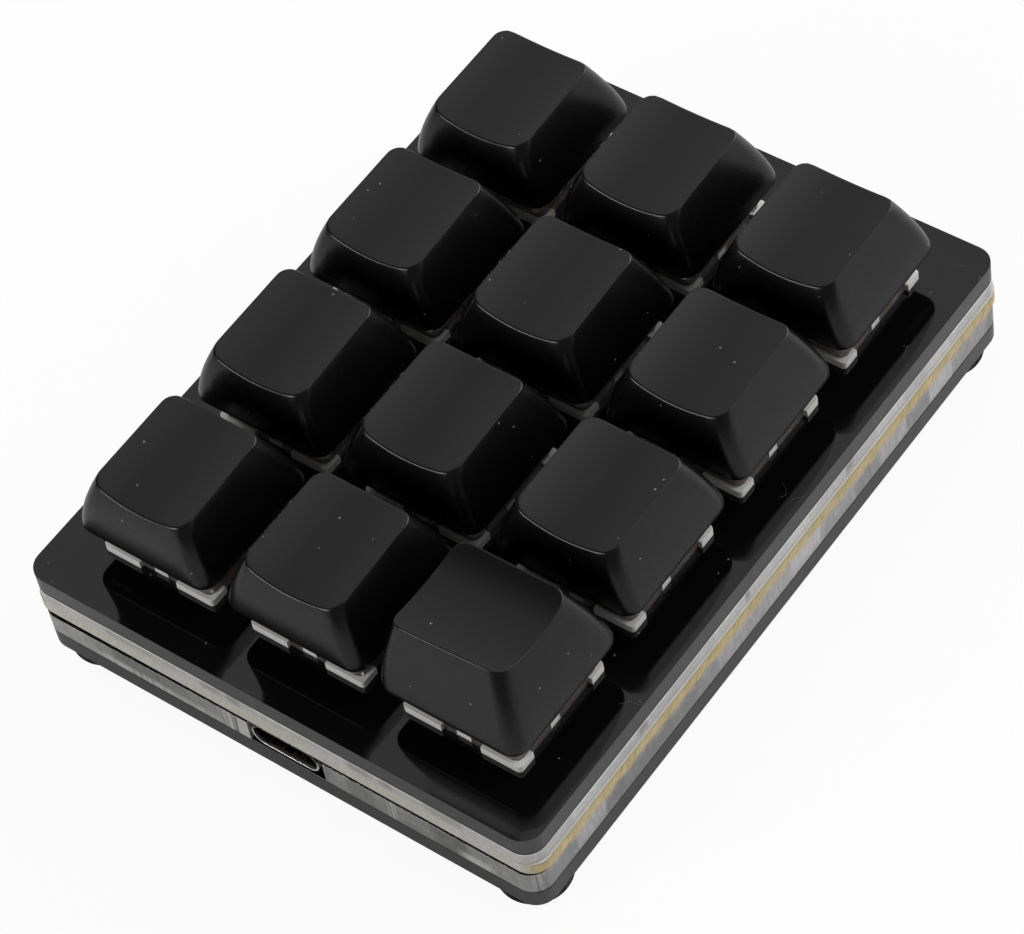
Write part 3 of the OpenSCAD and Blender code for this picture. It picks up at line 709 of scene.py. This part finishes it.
# The frame was sawn a little out of true. Seen from the port's side, the outer edge of its top falls
# away evenly from the port to the left corner.
frame_top, drop = 7.9, 0.35
inner_y, outer_y = 41, 43.5
port_x, corner_x = 4.5, 33.5
corners = np.empty(len(wall.data.vertices) * 3)
wall.data.vertices.foreach_get("co", corners)
corners = corners.reshape(-1, 3)
x, y, z = (corners / MM).T
outer = (z > frame_top - 0.01) * np.clip((y - inner_y) / (outer_y - inner_y), 0, 1)
corners[:, 2] -= outer * drop * MM * np.clip((x - port_x) / (corner_x - port_x), 0, 1)
wall.data.vertices.foreach_set("co", corners.ravel())


# ---------------------------------------------------------------- circuit board
# A glass-fibre board with white lacquer on both faces. Its long edges are milled and show the yellow
# resin with slanted marks, and the edge at the port is paler where the board was snapped off.

board_finish = Finish(bpy.data.materials.new("glass_fibre_board"))
spot = board_finish.place()
x, y, z = board_finish.parts(spot)
_, ny, nz = board_finish.facing()
flat = board_finish.size(nz) > 0.7
snapped = board_finish.between(board_finish.size(ny), 0.0, 1.0, 0.75, 0.98)
slant = board_finish.add("CombineXYZ", None, {0: (x + y) * 3.4 + z * 1.2, 1: z * 0.6, 2: (x - y) * 0.05})
mill = board_finish.noise(slant, 1.0, 3.0, 0.6)
grain = board_finish.between(mill, 0.0, 1.0, 0.32, 0.68)
cloud = board_finish.noise(spot, 0.25, 3.0)
bleached = board_finish.between(cloud, 0.0, 0.5, 0.4, 0.6)
ruddy = board_finish.between(board_finish.noise(spot, 1.3, 1.0), 0.0, 0.3, 0.5, 0.62)
# Painted shadow: the top of the milled edge darkens where the sheet sits on the board.
joint_shadow = board_finish.between(z, 0.0, 0.6, 9.72, 9.86) * board_finish.between(z, 1.0, 0.0, 9.9, 10.0)
resin = board_finish.blend(grain, (0.33, 0.27, 0.11), (0.66, 0.53, 0.25))
resin = board_finish.blend(bleached, resin, (0.54, 0.46, 0.28))
resin = board_finish.blend(ruddy, resin, (0.62, 0.4, 0.24))
resin = board_finish.blend(joint_shadow, resin, (0.16, 0.12, 0.07))
pale = board_finish.blend(grain, (0.43, 0.42, 0.37), (0.54, 0.53, 0.48))
lacquer = board_finish.blend(cloud, (0.6, 0.58, 0.53), (0.72, 0.7, 0.65))
glass_fibre_board = board_finish.surface(board_finish.add("BsdfPrincipled", None, {
    "Base Color": board_finish.blend(flat, board_finish.blend(snapped, resin, pale), lacquer),
    "Roughness": board_finish.between(mill, 0.45, 0.7) - flat * 0.25,
    "Normal": board_finish.bump(mill, 0.04, 0.6),
}))
board = eased("circuit_board", "board", 0.05)
board.data.materials.append(glass_fibre_board)


# ---------------------------------------------------------------- feet and fasteners
# Round rubber feet cover the heads of the four case screws. The screws turn into brass inserts in the
# top plate, and thin washers keep the frame off the board.

rubber_finish = Finish(bpy.data.materials.new("foot_rubber"))
spot = rubber_finish.place()
bloom = rubber_finish.noise(spot, 0.9, 4.0)
ribs = rubber_finish.noise(rubber_finish.stretched(spot, 1.7, 1.7, 0.22), 1.0, 3.0, 0.7)
worn = rubber_finish.between(ribs * 0.8 + bloom * 0.2, 0.0, 1.0, 0.48, 0.66)
foot_rubber = rubber_finish.surface(rubber_finish.add("BsdfPrincipled", None, {
    "Base Color": rubber_finish.blend(worn, (0.001, 0.001, 0.001), (0.07, 0.068, 0.066)),
    "Roughness": rubber_finish.between(ribs, 0.6, 0.9),
    "IOR": 1.3,
    "Normal": rubber_finish.bump(ribs, 0.3, 1.0),
}))
feet = eased("feet", "feet_round", 0.25, segments=3)
feet.data.materials.append(foot_rubber)

dress("case_screws", metal("screw_steel", (0.3, 0.3, 0.31), (0.45, 0.45, 0.46), 0.25, 0.45, 2.0))
dress("threaded_inserts", metal("insert_brass", (0.6, 0.42, 0.2), (0.75, 0.56, 0.3), 0.25, 0.4, 2.0))
dress("shim_washers", white_nylon)


# ---------------------------------------------------------------- port
# The socket for the cable: a rolled shell of plated steel, open to the back, painted dark as shade with
# painted glints and a painted highlight on its lower rim, and a thin dark tongue inside with rows of
# contacts.

shell_finish = Finish(bpy.data.materials.new("plated_shell"))
spot = shell_finish.place()
_, y, z = shell_finish.parts(spot)
ny = shell_finish.facing()[1]
wear = shell_finish.noise(spot, 1.2)
speckle = shell_finish.noise(shell_finish.stretched(spot, 7.0, 1.0, 2.0), 1.0, 2.0)
glints = shell_finish.between(speckle, 0.0, 1.0, 0.52, 0.66)
# Painted light: the front of the lower rim is a painted highlight, the rest of the shell is painted dark as
# shade, and the gold specks are painted glints.
mouth = shell_finish.between(ny, 0.0, 1.0, 0.3, 0.6) + shell_finish.between(y, 0.0, 1.0, 43.85, 44.05)
lower_rim_highlight = shell_finish.between(mouth, 0.0, 1.0) * shell_finish.between(z, 1.0, 0.04, 6.6, 7.7)
inside = shell_finish.blend(glints, (0.02, 0.018, 0.016), (0.5, 0.41, 0.27))
plated_shell = shell_finish.surface(shell_finish.add("BsdfPrincipled", None, {
    "Base Color": shell_finish.blend(lower_rim_highlight, inside, (0.93, 0.92, 0.9)),
    "Roughness": shell_finish.between(wear, 0.22, 0.36),
    "Metallic": 1.0,
}))
shell = eased("usb_shell", "port_shell", 0.09, segments=3)
shell.data.materials.append(plated_shell)

tongue_finish = Finish(bpy.data.materials.new("port_tongue"))
spot = tongue_finish.place()
x = tongue_finish.parts(spot)[0]
flat = tongue_finish.size(tongue_finish.facing()[2]) > 0.7
cloud = tongue_finish.noise(spot, 2.0)
rows = tongue_finish.add("Math", {"operation": "PINGPONG"}, {0: x, 1: 0.25}) > 0.13
contacts = rows * flat * tongue_finish.between(cloud, 0.2, 1.0, 0.4, 0.6)
port_tongue = tongue_finish.surface(tongue_finish.add("BsdfPrincipled", None, {
    "Base Color": tongue_finish.blend(contacts, (0.0025, 0.002, 0.0015), (0.07, 0.05, 0.025)),
    "Roughness": tongue_finish.between(cloud, 0.45, 0.65),
    "Metallic": contacts,
}))
dress("usb_tongue", port_tongue)


# ---------------------------------------------------------------- parts on the board
# The controller, diodes and small parts are soldered to the board's underside, and one lamp shines up
# through a window beside each switch.

def small_part(name, low, high, rough):
    """Moulded or fired stuff between two colours, with a fine grain."""
    finish = Finish(bpy.data.materials.new(name))
    spot = finish.place()
    cloud = finish.noise(spot, 2.0)
    return finish.surface(finish.add("BsdfPrincipled", None, {
        "Base Color": finish.blend(cloud, low, high),
        "Roughness": finish.between(cloud, rough, rough + 0.15),
        "Normal": finish.bump(finish.noise(spot, 9.0), 0.004, 0.5),
    }))


chip = small_part("chip_black", (0.02, 0.02, 0.02), (0.04, 0.04, 0.04), 0.45)
dress("microcontroller", chip)
dress("diodes", chip)
dress("leds", small_part("lamp_white", (0.7, 0.68, 0.55), (0.82, 0.8, 0.68), 0.25))
dress("passives", small_part("ceramic_tan", (0.32, 0.22, 0.12), (0.5, 0.38, 0.24), 0.4))
